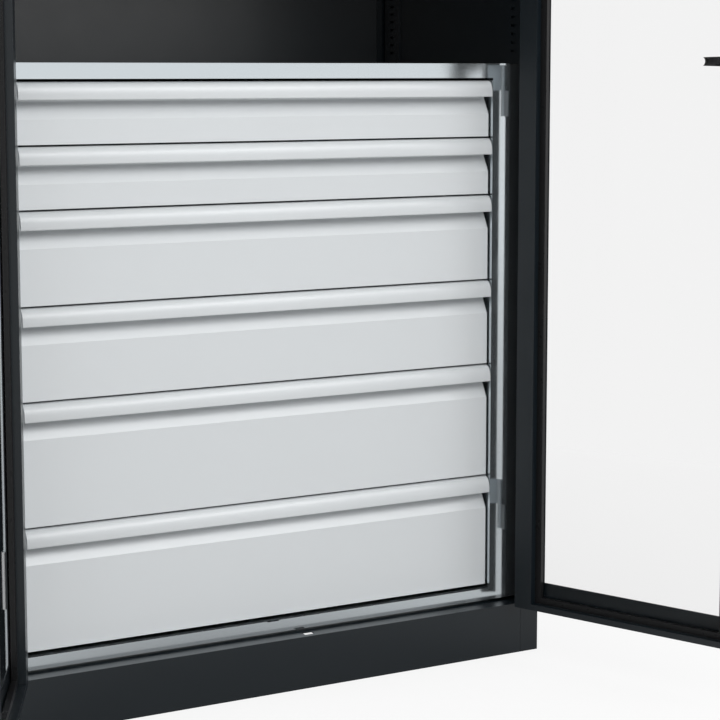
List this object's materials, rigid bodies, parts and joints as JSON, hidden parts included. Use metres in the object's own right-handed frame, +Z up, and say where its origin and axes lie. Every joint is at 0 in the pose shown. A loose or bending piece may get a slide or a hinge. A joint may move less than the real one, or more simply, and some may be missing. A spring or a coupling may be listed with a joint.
{
  "type": "tool cabinet",
  "caption": "Dark grey steel tool cabinet with two hinged window doors, shelves, and light grey drawers with rolled grips.",
  "frame": {"origin": "on the floor, in the middle of the cabinet's footprint", "axes": "+X to the right of a person in front, +Y from the front to the back, +Z up"},
  "size_m": [1.3434, 1.0163, 1.95],
  "materials": {
    "carcass": "fine powder coat",
    "housing": "glossy",
    "front": "satin powder coat",
    "grip": "satin powder coat",
    "tray": "satin powder coat",
    "zinc": "zinc plated",
    "handle": "matt",
    "bead": "satin",
    "pane": "clear"
  },
  "bodies": {
    "cabinet": {"side_left": "carcass", "side_right": "carcass", "back_panel": "carcass", "top_panel": "carcass", "floor_panel": "carcass", "floor_bearer": "carcass", "shelf_rails": "carcass", "shelf_lower": "carcass", "shelf_upper": "carcass", "shelf_clips": "zinc", "housing_side_left": "housing", "housing_side_right": "housing", "filler_left": "housing", "filler_right": "housing", "runner_rails_left": "zinc", "runner_rails_right": "zinc", "housing_cover": "housing", "housing_floor": "housing", "rail_top": "housing", "rail_bottom": "housing", "hinge_posts": "zinc", "hinge_pins": "zinc"},
    "door_left": {"door_skin_left": "carcass", "glazing_bead_left": "bead", "pane_left": "pane", "hinge_door_left": "zinc"},
    "door_right": {"door_skin_right": "carcass", "glazing_bead_right": "bead", "pane_right": "pane", "hinge_door_right": "zinc", "meeting_strip": "carcass", "lock_case": "zinc", "rod_guides": "zinc"},
    "handle": {"lock_handle": "handle"},
    "rod_lower": {"lock_rod_lower": "zinc"},
    "rod_upper": {"lock_rod_upper": "zinc"},
    "drawer_1": {"drawer_tray_1": "tray", "drawer_front_1": "front", "drawer_grip_1": "grip"},
    "slide_1": {"runner_middle_1": "zinc"},
    "drawer_2": {"drawer_tray_2": "tray", "drawer_front_2": "front", "drawer_grip_2": "grip"},
    "slide_2": {"runner_middle_2": "zinc"},
    "drawer_3": {"drawer_tray_3": "tray", "drawer_front_3": "front", "drawer_grip_3": "grip"},
    "slide_3": {"runner_middle_3": "zinc"},
    "drawer_4": {"drawer_tray_4": "tray", "drawer_front_4": "front", "drawer_grip_4": "grip"},
    "slide_4": {"runner_middle_4": "zinc"},
    "drawer_5": {"drawer_tray_5": "tray", "drawer_front_5": "front", "drawer_grip_5": "grip"},
    "slide_5": {"runner_middle_5": "zinc"},
    "drawer_6": {"drawer_tray_6": "tray", "drawer_front_6": "front", "drawer_grip_6": "grip"},
    "slide_6": {"runner_middle_6": "zinc"}
  },
  "joints": [
    {"name": "door_left", "type": "hinge", "parent": "cabinet", "child": "door_left", "pos_m": [-0.477, -0.287, 0.257], "axis": [0, 0, -1], "range_deg": [-113.6, 61.4]},
    {"name": "door_right", "type": "hinge", "parent": "cabinet", "child": "door_right", "pos_m": [0.477, -0.287, 0.257], "axis": [0, 0, 1], "range_deg": [-113.6, 61.4]},
    {"name": "handle", "type": "hinge", "parent": "door_right", "child": "handle", "pos_m": [0.65395, -0.69203, 1.05], "axis": [-0.9164, -0.4003, 0], "range_deg": [0, 90]},
    {"name": "rod_lower", "type": "slide", "parent": "door_right", "child": "rod_lower", "axis": [0, 0, -1], "range_m": [0, 0.022]},
    {"name": "rod_upper", "type": "slide", "parent": "door_right", "child": "rod_upper", "axis": [0, 0, 1], "range_m": [0, 0.022]},
    {"name": "drawer_1", "type": "slide", "parent": "cabinet", "child": "drawer_1", "axis": [0, -1, 0], "range_m": [0, 0.44]},
    {"name": "slide_1", "type": "slide", "parent": "cabinet", "child": "slide_1", "axis": [0, -1, 0], "range_m": [0, 0.22]},
    {"name": "drawer_2", "type": "slide", "parent": "cabinet", "child": "drawer_2", "axis": [0, -1, 0], "range_m": [0, 0.44]},
    {"name": "slide_2", "type": "slide", "parent": "cabinet", "child": "slide_2", "axis": [0, -1, 0], "range_m": [0, 0.22]},
    {"name": "drawer_3", "type": "slide", "parent": "cabinet", "child": "drawer_3", "axis": [0, -1, 0], "range_m": [0, 0.44]},
    {"name": "slide_3", "type": "slide", "parent": "cabinet", "child": "slide_3", "axis": [0, -1, 0], "range_m": [0, 0.22]},
    {"name": "drawer_4", "type": "slide", "parent": "cabinet", "child": "drawer_4", "axis": [0, -1, 0], "range_m": [0, 0.44]},
    {"name": "slide_4", "type": "slide", "parent": "cabinet", "child": "slide_4", "axis": [0, -1, 0], "range_m": [0, 0.22]},
    {"name": "drawer_5", "type": "slide", "parent": "cabinet", "child": "drawer_5", "axis": [0, -1, 0], "range_m": [0, 0.44]},
    {"name": "slide_5", "type": "slide", "parent": "cabinet", "child": "slide_5", "axis": [0, -1, 0], "range_m": [0, 0.22]},
    {"name": "drawer_6", "type": "slide", "parent": "cabinet", "child": "drawer_6", "axis": [0, -1, 0], "range_m": [0, 0.44]},
    {"name": "slide_6", "type": "slide", "parent": "cabinet", "child": "slide_6", "axis": [0, -1, 0], "range_m": [0, 0.22]}
  ],
  "couplings": [
    {"joint": "rod_lower", "follows": "handle", "m_per_rad": 0.014},
    {"joint": "rod_upper", "follows": "handle", "m_per_rad": 0.014},
    {"joint": "slide_1", "follows": "drawer_1", "ratio": 0.5},
    {"joint": "slide_2", "follows": "drawer_2", "ratio": 0.5},
    {"joint": "slide_3", "follows": "drawer_3", "ratio": 0.5},
    {"joint": "slide_4", "follows": "drawer_4", "ratio": 0.5},
    {"joint": "slide_5", "follows": "drawer_5", "ratio": 0.5},
    {"joint": "slide_6", "follows": "drawer_6", "ratio": 0.5}
  ]
}
